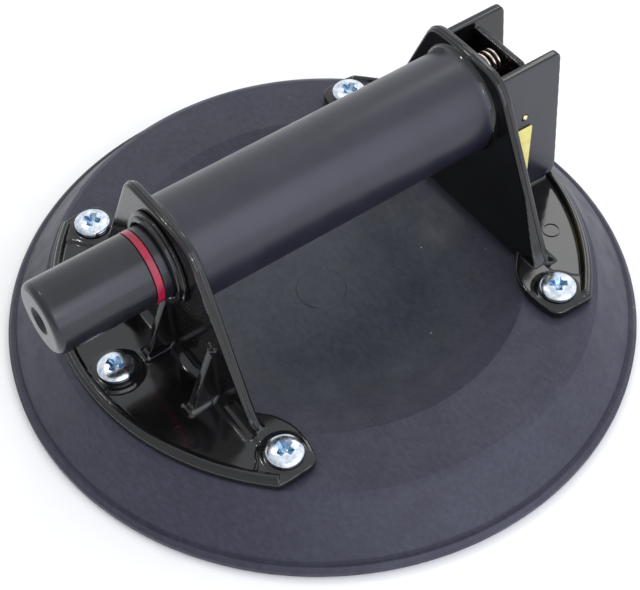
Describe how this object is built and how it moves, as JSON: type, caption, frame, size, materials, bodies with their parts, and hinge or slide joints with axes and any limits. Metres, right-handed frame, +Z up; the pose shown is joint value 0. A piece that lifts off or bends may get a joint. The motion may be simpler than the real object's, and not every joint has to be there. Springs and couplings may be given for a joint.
{
  "type": "vacuum suction cup",
  "caption": "Round rubber suction pad under a moulded bridge handle; the grip is a hand pump with a sliding red-line plunger, and a sprung thumb lever releases the vacuum",
  "frame": {"origin": "centre of the pad's flat sealing face, on the surface that the cup stands on", "axes": "+Z up, square to the pad; +X along the grip from the plunger end to the release-lever end; +Y to the left of that"},
  "size_m": [0.2286, 0.2286, 0.0903],
  "materials": {
    "pad_rubber": "moulded satin slate-grey rubber",
    "seal_rubber": "matte black nitrile",
    "handle_plastic": "glossy near-black moulded ABS",
    "plunger_plastic": "satin dark grey moulded plastic",
    "red_band": "red indicator band",
    "zinc_steel": "bright zinc-plated steel",
    "spring_steel": "drawn spring steel",
    "brass": "turned brass",
    "aluminium": "drawn aluminium tube",
    "label_yellow": "blank yellow self-adhesive label",
    "felt": "off-white filter felt"
  },
  "bodies": {
    "root": {"suction_pad": "pad_rubber", "pad_backing_plate": "zinc_steel", "threaded_bush_1": "brass", "pad_screw_1": "zinc_steel", "threaded_bush_2": "brass", "pad_screw_2": "zinc_steel", "threaded_bush_3": "brass", "pad_screw_3": "zinc_steel", "threaded_bush_4": "brass", "pad_screw_4": "zinc_steel", "threaded_bush_5": "brass", "pad_screw_5": "zinc_steel", "vacuum_port_fitting": "brass", "port_filter": "felt", "handle": "handle_plastic", "serial_label": "label_yellow", "duct_plug": "brass", "pump_cylinder": "aluminium", "cylinder_collar": "handle_plastic", "plunger_wiper": "seal_rubber", "plunger_spring": "spring_steel", "end_plug": "plunger_plastic", "end_plug_o_ring": "seal_rubber", "check_valve_disc": "seal_rubber", "valve_nozzle": "brass", "lever_pin": "brass", "lever_pin_clip": "zinc_steel", "lever_spring": "spring_steel"},
    "plunger": {"plunger": "plunger_plastic", "red_line_band": "red_band", "piston_washer": "zinc_steel", "piston_cup": "seal_rubber", "spring_seat": "zinc_steel", "piston_screw": "zinc_steel"},
    "release_lever": {"release_lever": "handle_plastic", "valve_seal": "seal_rubber"}
  },
  "joints": [
    {"name": "pump_stroke", "type": "slide", "parent": "root", "child": "plunger", "axis": [1, 0, 0], "range_m": [0, 0.036], "stiffness_N_per_m": 250, "springref_m": -0.01, "deforming": ["plunger_spring"]},
    {"name": "release_pull", "type": "hinge", "parent": "root", "child": "release_lever", "pos_m": [0.077, 0, 0.0627], "axis": [0, -1, 0], "range_deg": [0, 10], "stiffness_Nm_per_rad": 0.6, "springref_deg": -5.73, "deforming": ["lever_spring"]}
  ]
}
